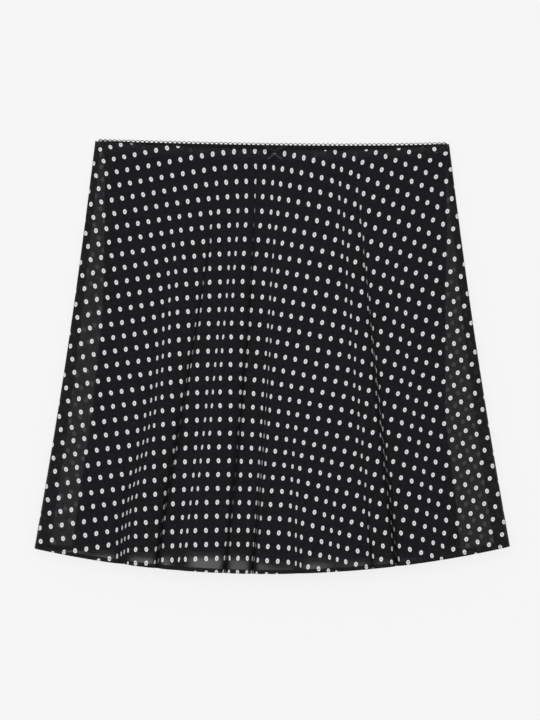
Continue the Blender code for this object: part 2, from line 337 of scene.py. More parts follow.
# ---------------------------------------------------------------------------
# The form of the skirt


def half_width(along):
    return between(WAIST_HALF, HEM_HALF, along) - SIDE_HOLLOW * np.sin(np.pi * along)


def waist_dip(x):
    share = x / WAIST_HALF
    return (1 + DIP_LEAN * share) * np.maximum(0, 1 - share**2)


def back_waist(x):
    return WAIST_Y - WAIST_TILT * x - BACK_DIP * waist_dip(x)


def front_waist(x):
    return back_waist(x) - FRONT_DROP - FRONT_DIP * waist_dip(x)


def front_hem(x):
    return HEM_Y + HEM_TILT * x + HEM_CURVE * (x / HEM_HALF) ** 2


def back_hem(x):
    lifts = sum(
        lift.height * np.exp(-(((x - lift.x) / lift.spread) ** 2)) for lift in BACK_HEM_LIFTS
    )
    return front_hem(x) + BACK_HEM_MARGIN + lifts


def crease(fold, along):
    straight = between(fold.waist, fold.hem, along)
    aside = np.maximum(0, (along - KICK_FROM) / (1 - KICK_FROM)) ** 2
    return straight + fold.bow * 4 * along * (1 - along) + fold.kick * aside


def taken_up(fold, along):
    return fold.take_up * np.clip((along - fold.start) / (fold.full - fold.start), 0, 1)


def front_height(x, along):
    """The outer face of the front between its side folds."""
    rise = between(RISE_WAIST, RISE_HEM, 1 - (1 - along) ** RISE_CURVE)
    rise = rise * (1 - DOME_DROP * np.abs(x / half_width(along)) ** DOME_POWER)
    height = rise
    for fold in FRONT_FOLDS:
        share = np.minimum(FOLD_DEEPEST, DEPTH_SHARE * taken_up(fold, along) / rise)
        away = (x - crease(fold, along)) / (fold.width * FOLD_SPREAD)
        height = height * (1 - share / np.cosh(away) ** 2)
    return FRONT_LOW + height


def bed(x, along):
    """The height of the back panel's underside."""
    height = 0 * x
    for ridge in BACK_RIDGES:
        grown = np.maximum(0, (along - ridge.start) / (1 - ridge.start))
        distance = np.minimum(1, np.abs(x - between(ridge.waist, ridge.hem, along)) / ridge.reach)
        height = height + ridge.height * grown * (1 + np.cos(np.pi * distance)) / 2
    return height


def back_folds():
    """The straight folds along both flanks of each ridge."""
    return [
        Fold(
            start=BACK_START,
            full=1.0,
            take_up=BACK_TAKE_UP,
            waist=ridge.waist + flank,
            hem=ridge.hem + flank,
            bow=0,
            width=BACK_CREASE,
            kick=0,
            tuck=BACK_TUCK,
            opened=BACK_TUCK,
            line=BACK_SHADE_FROM,
        )
        for ridge in BACK_RIDGES
        for flank in (-BACK_FLANK, BACK_FLANK)
    ]


def cut_share(cut, x, y):
    """The share of the length at a place, from the line that the panel's cut is measured from."""
    top = CUT_EDGE - CUT_TILT * x - cut.dip * np.maximum(0, 1 - (x / WAIST_HALF) ** 2)
    bottom = front_hem(x) - HEM_TILT * x
    return (top - y) / (top - bottom)


def cut_place(cut, folds, points, along):
    """Where a place of the lying skirt is in the flat cloth, with what its folds take up."""
    x = points[..., 0]
    arc = powers(cut.shift, along) + powers(cut.stretch, along) * x
    for fold in folds:
        away = x - crease(fold, along)
        shut = np.clip((along - fold.shut) / SHUT_OVER, 0, 1)
        hidden = shut * between(fold.tuck, fold.opened, np.clip(along, 0, 1) ** OPENS_LATE)
        side_share = between(np.tanh(away / fold.width), np.sign(away), hidden)
        arc = arc + taken_up(fold, along) / 2 * side_share
    turned = np.clip(1 - (half_width(along) - np.abs(x)) / SIDE_ROLL, 0, 1)
    arc = arc + np.sign(x) * SIDE_ROLL * (np.arcsin(turned) - turned)
    side = x / HEM_HALF
    eased = cut.eased * np.exp(-np.clip(along, 0, 1) / EASE_FADE)
    arc = arc + eased * powers(EASE_ACROSS, side)
    along = cut_share(cut, x, points[..., 1])
    ring = powers(cut.ring, along) + cut.slope * side + cut.bend * along * side**2
    ring = ring + eased * powers(EASE_UP, side)
    for wave in cut.waves:
        height = passing(wave.waist, wave.halfway, wave.hem, along)
        ring = ring + height * np.cos(np.pi * wave.count * side - math.radians(wave.turn))
    for sag in cut.sags:
        away = ((x - sag.x) / sag.spread) ** 2 + ((along - sag.along) / sag.reach) ** 2
        ring = ring + sag.height * np.exp(-away)
    angle = arc / (CUT_INNER + CUT_OUTER * along)
    middle_x, middle_y = CUT_MIDDLE
    return np.stack([middle_x + ring * np.sin(angle), middle_y + ring * np.cos(angle)], -1)


def crease_shade_amounts(folds, x, along):
    """How much painted shade darkens the creases at each place, from 0 to 1."""
    dark = 0 * x
    for fold in folds:
        grown = np.clip((along - fold.line) / LINE_OVER, 0, 1)
        dark = dark + grown * np.exp(-(((x - crease(fold, along)) / CREASE_SHADE_HALF) ** 2))
    return np.minimum(1, dark)


def stations(marks):
    """Places from the first mark to the last, closer together at each mark. Marks are columns."""
    across = []
    for left, right in zip(marks.T, marks.T[1:]):
        count = STATION_EXTRA + round(float(right[-1] - left[-1]) / STATION_GAP)
        share = np.arange(count) / count
        share = share - STATION_CLOSER * np.sin(2 * np.pi * share) / (2 * np.pi)
        across.append(between(left[:, None], right[:, None], share))
    return np.hstack([*across, marks[:, -1:]])


def front_face(along):
    """Points across the front's outer face, from one side fold round to the other."""
    half = half_width(along)
    roll = between(ROLL_WAIST, ROLL_HEM, along)
    shoulder = half - roll
    marks = np.hstack([-shoulder, *(crease(fold, along) for fold in FRONT_FOLDS), shoulder])
    x = stations(marks)
    z = front_height(x, along)
    turn = np.pi / 2 * np.arange(ROLL_STEPS) / ROLL_STEPS
    reach = shoulder + roll * np.cos(turn)
    left_top, right_top = z[:, :1], z[:, -1:]
    x = np.hstack([-reach, x, reach[:, ::-1]])
    left = between(SIDE_FOLD_Z, left_top, np.sin(turn))
    right = between(SIDE_FOLD_Z, right_top, np.sin(turn))
    z = np.hstack([left, z, right[:, ::-1]])
    y = between(front_waist(x), front_hem(x), along)
    return np.stack([x, y, z], -1)


def rows_between(top, bottom, count):
    """Shares of the length from top to bottom, as a column."""
    return np.linspace(top, bottom, count)[:, None]


def ridge_marks(along):
    return [between(ridge.waist, ridge.hem, along) for ridge in BACK_RIDGES]


def crease_marks(along):
    return [crease(fold, along) for fold in back_folds()]


def no_marks(along):
    return []


def bed_face(sides, top, bottom, height, rows, marks=ridge_marks, ease=1.0):
    """Points of a piece that lies at that height over the bed, and their shares of the length."""
    share = 1 - rows_between(1, 0, rows) ** ease
    along = share
    for _ in range(BED_SETTLES):  # a row isn't straight, so its x and its share settle together
        left, right = sides(along)
        x = stations(np.hstack([left, *marks(along), right]))
        y = between(top(x), bottom(x), share)
        lying = (back_waist(x) - y) / (back_waist(x) - front_hem(x))
        middle = lying.shape[1] // 2
        along = lying[:, middle : middle + 1]
    return np.stack([x, y, bed(x, lying) + height], -1), lying


def panel_sides(along):
    return -half_width(along), half_width(along)


def hem_sides(along):
    return HEM_INSET - half_width(along), half_width(along) - HEM_INSET


def elastic_sides(along):
    half = WAIST_HALF - ELASTIC_INSET + 0 * along
    return -half, half


def lining_sides(along):
    heights = [edge.along for edge in LINING_EDGES]
    left = np.interp(along, heights, [edge.left for edge in LINING_EDGES])
    right = np.interp(along, heights, [edge.right for edge in LINING_EDGES])
    return left, right


def above(edge, distance):
    return lambda x: edge(x) + distance


# ---------------------------------------------------------------------------
# Cloth


def gathered(points, cut):
    """How many widths of cloth lie over each place, from one side of a sheet to the other."""
    cloth = np.linalg.norm(np.diff(cut, axis=1), axis=-1)
    floor = np.linalg.norm(np.diff(points[..., :2], axis=1), axis=-1)
    ends = ((0, 0), (1, 1))
    cloth, floor = np.pad(cloth, ends), np.pad(floor, ends)
    widths = (cloth[:, 1:] + cloth[:, :-1]) / np.maximum(floor[:, 1:] + floor[:, :-1], LEAST_STEP)
    return np.clip(widths, 1, GATHER_MOST)


def sheet_of(name, points, cut, thick, finishes, faces_up=True, lines=0.0, doubled=0.0, shade=0.0):
    """A sheet through rows of points, thickened away from its face, which has the first finish."""
    rows, columns = points.shape[:2]
    index = np.arange(rows * columns).reshape(rows, columns)
    corners = [index[:-1, :-1], index[1:, :-1], index[1:, 1:], index[:-1, 1:]]
    if not faces_up:
        corners.reverse()
    quads = np.stack(corners, -1).reshape(-1, 4)
    mesh = bpy.data.meshes.new(name)
    mesh.from_pydata((points.reshape(-1, 3) * MM).tolist(), [], quads.tolist())
    places = (cut.reshape(-1, 2) * MM)[quads.ravel()]
    mesh.uv_layers.new(name="cut").data.foreach_set("uv", places.ravel())
    # the creases carry their painted shade as an amount of their own, and painted shade adds to the
    # widths of cloth
    amounts = {"gather": gathered(points, cut) + shade, "painted_crease_shade": lines, "doubled": doubled}
    for amount, values in amounts.items():
        values = np.broadcast_to(values, (rows, columns)).ravel()
        mesh.attributes.new(amount, "FLOAT", "POINT").data.foreach_set("value", values)
    mesh.shade_smooth()
    for finish in finishes:
        mesh.materials.append(finish)
    piece = bpy.data.objects.new(name, mesh)
    bpy.context.scene.collection.objects.link(piece)
    wall = piece.modifiers.new("wall", "SOLIDIFY")
    wall.thickness = thick * MM
    wall.offset = -1
    wall.material_offset = len(finishes) - 1
    wall.use_rim = True
    only(piece)
    bpy.ops.object.modifier_apply(modifier=wall.name)
    return piece


def only(piece):
    """Selects that piece alone."""
    bpy.ops.object.select_all(action="DESELECT")
    bpy.context.view_layer.objects.active = piece
    piece.select_set(True)


def settle(piece, slot, *nodes):
    """Puts a piece on the skirt, in the place of those nodes."""
    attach(piece, "root")
    if nodes:
        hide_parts(*nodes)
    return piece


def plain_cut(points):
    """The cut of a piece that lies nearly as it was cut."""
    return points[..., :2]


# ---------------------------------------------------------------------------
# Materials


class Value:
    """A number that varies over a surface. Sums on it add the nodes that work it out."""

    def __init__(self, paint, socket):
        self.paint = paint
        self.socket = socket

    def maths(self, operation, *others):
        return self.paint.node("ShaderNodeMath", {"operation": operation}, self, *others)

    def __add__(self, other):
        return self.maths("ADD", other)

    def __radd__(self, other):
        return self.maths("ADD", other)

    def __sub__(self, other):
        return self.maths("SUBTRACT", other)

    def __rsub__(self, other):
        return self.paint.node("ShaderNodeMath", {"operation": "SUBTRACT"}, other, self)

    def __mul__(self, other):
        return self.maths("MULTIPLY", other)

    def __rmul__(self, other):
        return self.maths("MULTIPLY", other)

    def __truediv__(self, other):
        return self.maths("DIVIDE", other)

    def __rtruediv__(self, other):
        return self.paint.node("ShaderNodeMath", {"operation": "DIVIDE"}, other, self)

    def __pow__(self, other):
        return self.maths("POWER", other)

    def __rpow__(self, other):
        return self.paint.node("ShaderNodeMath", {"operation": "POWER"}, other, self)

    def waves(self, pitch):
        """Sine waves along a place in metres, that many millimetres from crest to crest."""
        return (self * (2 * math.pi / (pitch * MM))).maths("SINE")


class Paint:
    """A material and the nodes that make it up."""

    def __init__(self, name, **shader_inputs):
        self.material = bpy.data.materials.new(name)
        self.material.use_nodes = True
        self.tree = self.material.node_tree
        self.shader = self.tree.nodes["Principled BSDF"]
        for socket, value in shader_inputs.items():
            self.shader.inputs[socket.replace("_", " ")].default_value = value

    def plug(self, value, socket):
        if isinstance(value, Value):
            self.tree.links.new(value.socket, socket)
        else:
            socket.default_value = value

    def node(self, kind, settings=(), *values, output=0, **named):
        """A new node of that kind. Its settings come first, then the values of its sockets."""
        made = self.tree.nodes.new(kind)
        for setting, value in dict(settings).items():
            setattr(made, setting, value)
        for socket, value in zip(made.inputs, values):
            self.plug(value, socket)
        for socket, value in named.items():
            self.plug(value, made.inputs[socket])
        return Value(self, made.outputs[output])

    def feed(self, **inputs):
        for socket, value in inputs.items():
            self.plug(value, self.shader.inputs[socket.replace("_", " ")])

    def cut(self):
        """The place in the flat cloth, in metres, as a vector."""
        return self.node("ShaderNodeUVMap", {"uv_map": "cut"})

    def parts(self, vector):
        """The x, y and z of a vector."""
        apart = self.tree.nodes.new("ShaderNodeSeparateXYZ")
        self.plug(vector, apart.inputs[0])
        return [Value(self, socket) for socket in apart.outputs]

    def amount(self, name):
        """A number that the mesh carries at each of its points."""
        return self.node("ShaderNodeAttribute", {"attribute_name": name}, output=2)

    def scaled(self, tone, share):
        """A colour made lighter or darker."""
        return self.node("ShaderNodeVectorMath", {"operation": "SCALE"}, tone, Scale=share)

    def bump(self, height, depth, strength):
        relief = {"Strength": strength, "Distance": depth * MM, "Height": height}
        self.feed(Normal=self.node("ShaderNodeBump", {}, **relief))

    def noise(self, vector, scale, detail=2.0):
        return self.node("ShaderNodeTexNoise", {}, Vector=vector, Scale=scale, Detail=detail)

    def ramp(self, value, low, high):
        """0 below low, 1 above high, and smooth between them."""
        kind = {"interpolation_type": "SMOOTHSTEP"}
        return self.node("ShaderNodeMapRange", kind, value, low, high, 0.0, 1.0)

    def mix(self, share, first, second):
        """A colour between two colours."""
        kind = {"data_type": "RGBA"}
        return self.node("ShaderNodeMix", kind, output=2, Factor=share, A=first, B=second)


def colour(*parts):
    return (*parts, 1.0)


# ---------------------------------------------------------------------------
# Finishes. The scale of a noise is in waves for each metre, a pitch or a depth in millimetres.

CHIFFON_THROUGH = 0.355  # the share of light that passes one face of the chiffon
HEM_THROUGH = 0.22  # the same for the cloth turned up in the hems and for the seam allowances
SEAM_THROUGH = 0.45
# how much the painted crease shade darkens the cloth and hides its print
CREASE_SHADE = 0.9
# painted shade: how much darker the cloth is where it is gathered into folds
GATHER_SHADE = 0.1
DOUBLED_PALE = 0.6  # how much paler the cloth looks over its own turned edge
DOT_SOFT = 0.07  # the blur of the print's edge on the outside and inside, as a share of the oval
DOT_SOFT_INSIDE = 0.55
DOT_MIDDLE = 0.55  # the print is thinner in the middle of each oval
DOT_THICKENS = (0.4, 0.85)  # and thickens between these shares of the way to its edge
RIB_PITCH = 1.1  # along the elastic, and across it
ROW_PITCH = 1.5
TWIST_PITCH = 0.35
SATIN_PITCH = 0.3
SELVEDGE = (0.35, 0.1)  # where the ribbon's darker edge begins and is at its darkest, from the edge
SELVEDGE_DARK = 0.45
# How light each finish is: its even tone, and then the share of each pattern on it
CHIFFON_MOTTLE = (0.3, 1.1, 0.3)  # grain and crepe
LINING_MOTTLE = (0.7, 0.6)  # weave
ELASTIC_MOTTLE = (0.6, 0.2, 0.2, 0.7)  # ribs, rows and wear
THREAD_MOTTLE = (0.85, 0.25)  # twist
SATIN_MOTTLE = (1, 0.2)  # threads

BLACK_CHIFFON = (0.0122, 0.0122, 0.014)
BLACK_LINING = (0.0105, 0.0105, 0.0115)
BLACK_ELASTIC = (0.0112, 0.011, 0.0105)
# painted shade and light: a darker, shaded tone of the satin for the loops and knot, a lighter, lit
# tone for the tails
SHADED_SATIN = (0.008, 0.008, 0.009)
LIT_SATIN = (0.024, 0.024, 0.027)
BLACK_THREAD = (0.012, 0.012, 0.013)
WHITE_DOT = colour(0.8, 0.8, 0.8)
DULL_DOT = colour(0.42, 0.42, 0.42)
# painted light: the print on the back's inside glows this colour
LIT_DOT = colour(0.34, 0.34, 0.34)


def mottled(shares, *patterns):
    """How light a finish is at each place, from its even tone and the shares of its patterns."""
    light, *amounts = shares
    for amount, pattern in zip(amounts, patterns):
        light = light + amount * pattern
    return light


def spots(paint, cut):
    """The distance from the middle of the nearest oval of the print, which is 1 at its edge."""
    right, down, _ = paint.parts(cut)
    right = right / (DOT_ACROSS * MM)
    down = down / (DOT_DOWN * MM)
    column = right.maths("ROUND")
    row = down.maths("ROUND")
    lean = 1 - 2 * (column + row).maths("FLOORED_MODULO", 2.0)
    x = (right - column) * DOT_ACROSS
    y = (down - row) * DOT_DOWN
    turn = math.radians(DOT_LEAN)
    wide = (x * math.cos(turn) + lean * y * math.sin(turn)) / (DOT_WIDE / 2)
    tall = (y * math.cos(turn) - lean * x * math.sin(turn)) / (DOT_TALL / 2)
    return (wide * wide + tall * tall).maths("SQRT")


def chiffon(name, dot=None, through=CHIFFON_THROUGH, glow=None, soft=DOT_SOFT):
    """Sheer black cloth, with the print in that colour. Light fades for each width of it.

    Glow is painted light for the pale floor's light that comes through the print, and soft its
    edge's blur.
    """
    paint = Paint(name, Roughness=0.85, Specular_IOR_Level=0.08)
    cut = paint.cut()
    gather = paint.amount("gather")
    # painted shade darkens the cloth along its creases and hides the print there
    unshaded_cloth = 1 - CREASE_SHADE * paint.amount("painted_crease_shade")
    doubled = 1 + DOUBLED_PALE * paint.amount("doubled")
    grain = paint.ramp(paint.noise(cut, scale=850.0, detail=1.0), 0.25, 0.75)
    crepe = paint.noise(cut, scale=260.0, detail=3.0)
    light = mottled(CHIFFON_MOTTLE, grain, crepe)
    # painted shade darkens the gathered cloth, on top of its own mottle and its paler doubled edge
    shade = light * unshaded_cloth * doubled / gather**GATHER_SHADE
    black = paint.scaled(BLACK_CHIFFON, shade)
    # painted shade carried in the widths also makes the cloth less sheer
    veil = 1 - through**gather
    if dot is None:
        paint.feed(Base_Color=black, Alpha=veil)
    else:
        distance = spots(paint, cut)
        inside = paint.ramp(distance, 1 + soft, 1 - soft) * unshaded_cloth
        rim = paint.ramp(distance, *DOT_THICKENS)
        thin = colour(*(DOT_MIDDLE * part for part in dot[:3]))
        printed = paint.mix(rim, thin, dot)
        paint.feed(Base_Color=paint.mix(inside, black, printed), Alpha=veil + (1 - veil) * inside)
        # painted light: the print glows with the floor's light through it
        if glow:
            lit = paint.mix(inside, colour(0, 0, 0), glow)
            paint.feed(Emission_Color=lit, Emission_Strength=1.0)
    paint.bump(paint.noise(cut, scale=1900.0, detail=1.0), depth=0.2, strength=0.25)
    return paint.material


def lining_cloth(name):
    """Plain black slip cloth, matt, with a slight unevenness."""
    paint = Paint(name, Roughness=0.62, Specular_IOR_Level=0.12)
    place = paint.cut()
    light = mottled(LINING_MOTTLE, paint.noise(place, scale=900.0, detail=1.0))
    paint.feed(Base_Color=paint.scaled(BLACK_LINING, light))
    paint.bump(paint.noise(place, scale=28.0, detail=2.0), depth=2.0, strength=0.35)
    return paint.material


def elastic_cloth(name):
    """Narrow ribs along the band, crossed by its covered threads."""
    paint = Paint(name, Roughness=0.8, Specular_IOR_Level=0.1)
    place = paint.node("ShaderNodeTexCoord", output=3)
    x, y, _ = paint.parts(place)
    ribs = x.waves(RIB_PITCH)
    rows = y.waves(ROW_PITCH)
    wear = paint.noise(place, scale=140.0, detail=3.0)
    paint.feed(Base_Color=paint.scaled(BLACK_ELASTIC, mottled(ELASTIC_MOTTLE, ribs, rows, wear)))
    paint.bump(ribs + rows, depth=0.3, strength=0.6)
    return paint.material


def thread(name, tone):
    """Twisted sewing thread."""
    paint = Paint(name, Roughness=0.7, Specular_IOR_Level=0.25)
    x, y, _ = paint.parts(paint.node("ShaderNodeTexCoord", output=3))
    twist = (x + y).waves(TWIST_PITCH)
    paint.feed(Base_Color=paint.scaled(tone, mottled(THREAD_MOTTLE, twist)))
    paint.bump(twist, depth=0.08, strength=0.5)
    return paint.material


def satin(name, tone):
    """Narrow black satin ribbon, with a fine thread across it and a darker woven edge."""
    paint = Paint(name, Roughness=0.5, Specular_IOR_Level=0.15, Anisotropic=0.4)
    across, down, _ = paint.parts(paint.cut())
    threads = down.waves(SATIN_PITCH)
    edge = paint.ramp(across.maths("ABSOLUTE"), *((RIBBON / 2 - inset) * MM for inset in SELVEDGE))
    light = mottled(SATIN_MOTTLE, threads) * (1 - SELVEDGE_DARK * edge)
    paint.feed(Base_Color=paint.scaled(tone, light))
    paint.bump(threads, depth=0.04, strength=0.4)
    return paint.material


front_finish = chiffon("front_chiffon", WHITE_DOT)
back_finish = chiffon("back_chiffon", WHITE_DOT)
back_inner_finish = chiffon("back_chiffon_inside", DULL_DOT, glow=LIT_DOT, soft=DOT_SOFT_INSIDE)
turned_in_finish = chiffon("turned_in_chiffon", WHITE_DOT)
hem_finish = chiffon("hem_chiffon", through=HEM_THROUGH)
seam_finish = chiffon("seam_chiffon", through=SEAM_THROUGH)
lining_finish = lining_cloth("lining")
elastic_finish = elastic_cloth("elastic")
picot_finish = thread("picot_thread", BLACK_ELASTIC)
stitch_finish = thread("hem_thread", BLACK_THREAD)
# the same satin twice, once painted shaded and once painted lit
shaded_satin_finish = satin("bow_satin", SHADED_SATIN)
lit_satin_finish = satin("bow_satin_lit", LIT_SATIN)

# ---------------------------------------------------------------------------
# The front


def hem_shade(points):
    """Painted shadow on the front near where the back's hem ends behind it, and painted shade bands
    below it, in widths of cloth.
    """
    x = points[..., 0]
    left, right = lining_sides(1.0)
    inside = np.clip(np.minimum(x - left, right - x) / HEM_SHADE_SIDE, 0, 1)
    away = np.abs(back_hem(x) - points[..., 1]) / HEM_FADE
    shade = HEM_SHADE * inside * np.maximum(0, 1 - away) ** 2
    below = np.clip((back_hem(x) - points[..., 1]) / HEM_FADE, 0, 1)
    for shade_band in HEM_SHADE_BANDS:
        shade = shade + shade_band.widths * below * np.exp(-(((x - shade_band.x) / shade_band.spread) ** 2))
    return shade


length = front_waist(0) - front_hem(0)
along = rows_between(0, 1, FRONT_ROWS)
points = front_face(along)
folds = (*FRONT_FOLDS, BOW_GATHER)
cut = cut_place(FRONT_CUT, folds, points, along)
# painted shade along the front's creases
lines = crease_shade_amounts(FRONT_FOLDS, points[..., 0], along)
doubled = np.clip(DOUBLED_TO - along * length / TURNED_IN, 0, 1)
# the front's painted shadow below the back hem goes in as widths of cloth
amounts = {"lines": lines, "doubled": doubled, "shade": hem_shade(points)}
front = sheet_of("front_cloth", points, cut, CHIFFON_THICK, [front_finish], **amounts)
settle(front, "chiffon", "front_panel")


def tucked_inside(points, depth):
    """Points moved inside the front, that far from its face and from its side folds."""
    half = np.abs(points[:, :1, 0])[..., None]
    shrink = np.array([1, 0, 0]) * points * depth * 2 / half
    return points - shrink - np.array([0, 0, depth])


along = rows_between(1 - HEM_DEEP / length, 1, BAND_ROWS)
points = tucked_inside(front_face(along), 2 * CHIFFON_THICK)
front_turn = sheet_of("front_hem_turn", points, plain_cut(points), CHIFFON_THICK, [hem_finish])
settle(front_turn, "chiffon", "front_hem")

along = rows_between(TURNED_FROM / length, TURNED_IN / length, ALLOWANCE_ROWS)
points = front_face(along)
unturned = points * [1, -1, 1]
unturned[..., 1] += 2 * front_waist(points[..., 0])
cut = cut_place(FRONT_CUT, folds, unturned, -along)
points = tucked_inside(points, 2 * CHIFFON_THICK)
allowance = sheet_of("front_waist_allowance", points, cut, CHIFFON_THICK, [turned_in_finish])
settle(allowance, "chiffon")

# ---------------------------------------------------------------------------
# The back

points, lying = bed_face(panel_sides, back_waist, back_hem, 0, BED_ROWS, crease_marks, BED_EASE)
cut = cut_place(BACK_CUT, back_folds(), points, lying)
# painted shade along the back's creases
lines = crease_shade_amounts(back_folds(), points[..., 0], lying)
finishes = [back_finish, back_inner_finish]
back = sheet_of("back_cloth", points, cut, CHIFFON_THICK, finishes, False, lines)
settle(back, "chiffon", "back_panel")

height = 2 * CHIFFON_THICK
points, lying = bed_face(hem_sides, above(back_hem, HEM_DEEP), back_hem, height, BAND_ROWS)
back_turn = sheet_of("back_hem_turn", points, plain_cut(points), CHIFFON_THICK, [hem_finish])
settle(back_turn, "chiffon", "back_hem")


def seam_sides(side):
    """The two edges of a seam allowance, on the left for -1 and on the right for 1."""

    def sides(along):
        outer = half_width(along) - SEAM_INSET
        edges = side * outer, side * (outer - between(SEAM_WAIST, SEAM_HEM, along))
        return min(edges, key=np.sum), max(edges, key=np.sum)

    return sides


top, bottom = above(back_waist, -SEAM_BELOW_WAIST), above(back_hem, SEAM_ABOVE_HEM)
for name, side in (("left", -1), ("right", 1)):
    points, lying = bed_face(seam_sides(side), top, bottom, SEAM_Z, BED_ROWS, no_marks)
    cut = plain_cut(points)
    seam = sheet_of(f"seam_allowance_{name}", points, cut, CHIFFON_THICK, [seam_finish])
    settle(seam, "chiffon")

# ---------------------------------------------------------------------------
# The linings

for name, waist, short, layer in (
    ("back_lining", back_waist, BACK_LINING_SHORT, 1),
    ("front_lining", front_waist, FRONT_LINING_SHORT, 2),
):
    top = above(waist, -ELASTIC_DEEP - LAYER + WALL)
    height = layer * LAYER + LINING_THICK
    points, lying = bed_face(lining_sides, top, above(back_hem, short), height, BED_ROWS)
    lining = sheet_of(name + "_cloth", points, plain_cut(points), LINING_THICK, [lining_finish])
    settle(lining, "lining", name)


# ---------------------------------------------------------------------------
# The elastics, and what repeats along an edge


def repeated(pattern, name, places):
    """Copies of a piece along an edge, joined. A place is its x, y and z, its turn and its tilt."""
    copies = []
    for x, y, z, turn, tilt in places:
        copy = pattern.copy()
        copy.data = pattern.data.copy()
        copy.location = (x * MM, y * MM, z * MM)
        copy.rotation_euler = (0, -tilt, turn)
        bpy.context.scene.collection.objects.link(copy)
        copies.append(copy)
    bpy.data.objects.remove(pattern)
    only(copies[0])
    for copy in copies:
        copy.select_set(True)
    bpy.ops.object.join()
    bpy.ops.object.transform_apply(location=True, rotation=True, scale=True)
    joined = bpy.context.object
    joined.name = name
    return joined


def picot_loop():
    """A loop of thread that stands on the elastic's edge."""
    bpy.ops.object.select_all(action="DESELECT")
    bpy.ops.mesh.primitive_torus_add(
        major_segments=16,
        minor_segments=6,
        major_radius=PICOT_WIDE / 2 * MM,
        minor_radius=PICOT_THREAD / 2 * MM,
    )
    loop = bpy.context.object
    bpy.ops.object.mode_set(mode="EDIT")
    bpy.ops.mesh.select_all(action="SELECT")
    half = {"plane_co": (0, 0, 0), "plane_no": (0, 1, 0)}
    bpy.ops.mesh.bisect(**half, clear_inner=True, use_fill=True, threshold=1e-7)
    bpy.ops.mesh.select_all(action="SELECT")
    bpy.ops.transform.resize(value=(1, 2 * PICOT_REACH / PICOT_WIDE, 1), center_override=(0, 0, 0))
    bpy.ops.mesh.select_all(action="DESELECT")
    knot = (PICOT_PITCH / 2 * MM, 0, 0)
    bpy.ops.mesh.primitive_uv_sphere_add(segments=10, ring_count=6, radius=MM / 2, location=knot)
    bpy.ops.transform.resize(value=PICOT_KNOT, center_override=knot)
    bpy.ops.mesh.select_all(action="SELECT")
    bpy.ops.mesh.normals_make_consistent(inside=False)
    bpy.ops.object.mode_set(mode="OBJECT")
    bpy.ops.object.shade_smooth()
    loop.data.materials.append(picot_finish)
    return loop


for name, waist, layer in (
    ("waist_elastic_back", back_waist, 1),
    ("waist_elastic_front", front_waist, 2),
):
    height = layer * LAYER + ELASTIC_THICK
    edge = above(waist, PICOT_BASE)
    points, lying = bed_face(elastic_sides, edge, above(waist, -ELASTIC_DEEP), height, BAND_ROWS)
    elastic = sheet_of(name + "_band", points, plain_cut(points), ELASTIC_THICK, [elastic_finish])
    settle(elastic, "elastic", name)
    half = WAIST_HALF - ELASTIC_INSET - PICOT_PITCH / 2
    across = np.linspace(-half, half, round(2 * half / PICOT_PITCH) + 1)
    places = [(x, edge(x), height - ELASTIC_THICK / 2, 0, 0) for x in across]
    picots = repeated(picot_loop(), name + "_picots", places)
    settle(picots, "elastic")

# ---------------------------------------------------------------------------
# The hem stitches


def stitch():
    """One rounded stitch, lying along X."""
    bpy.ops.object.select_all(action="DESELECT")
    bpy.ops.mesh.primitive_cube_add(size=MM, scale=STITCH)
    made = bpy.context.object
    bpy.ops.object.transform_apply(location=False, rotation=False, scale=True)
    bpy.ops.object.mode_set(mode="EDIT")
    bpy.ops.mesh.select_all(action="SELECT")
    bpy.ops.mesh.bevel(offset=min(STITCH) * STITCH_ROUND * MM, segments=1, affect="EDGES")
    bpy.ops.object.mode_set(mode="OBJECT")
    bpy.ops.object.shade_smooth()
    made.data.materials.append(stitch_finish)
    return made


def stitch_places(points):
    """Stitches along a row of points, each turned and tilted to the cloth under it."""
    steps = np.diff(points, axis=0)
    run = np.concatenate([[0], np.cumsum(np.linalg.norm(steps, axis=1))])
    places = []
    for at in np.arange(STITCH_PITCH, run[-1], STITCH_PITCH):
        x, y, z = (np.interp(at, run, points[:, axis]) for axis in range(3))
        ahead = [np.interp(at + STITCH_AHEAD, run, points[:, axis]) for axis in range(3)]
        turn = math.atan2(ahead[1] - y, ahead[0] - x)
        tilt = math.atan2(ahead[2] - z, math.hypot(ahead[0] - x, ahead[1] - y))
        places.append((x, y, z, turn, tilt))
    return places


row = front_face(np.array([[1 - STITCH_UP / length]]))[0]
ends = ROLL_STEPS + STITCH_SHORT
front_stitches = repeated(stitch(), "front_hem_stitches", stitch_places(row[ends:-ends]))
settle(front_stitches, "chiffon")

points, lying = bed_face(hem_sides, above(back_hem, STITCH_UP), back_hem, 0, 2)
back_stitches = repeated(stitch(), "back_hem_stitches", stitch_places(points[0]))
settle(back_stitches, "chiffon")

# ---------------------------------------------------------------------------
# The bow


def on_front(x, y, z):
    """A place of the bow, from its middle on the cloth."""
    return np.stack([BOW_X + x, BOW_Y + y, BOW_Z + z], -1)


def ribbon_cut(across, run):
    """The ribbon's own cut, with its middle at zero."""
    return np.stack([across + 0 * run, run + 0 * across], -1)


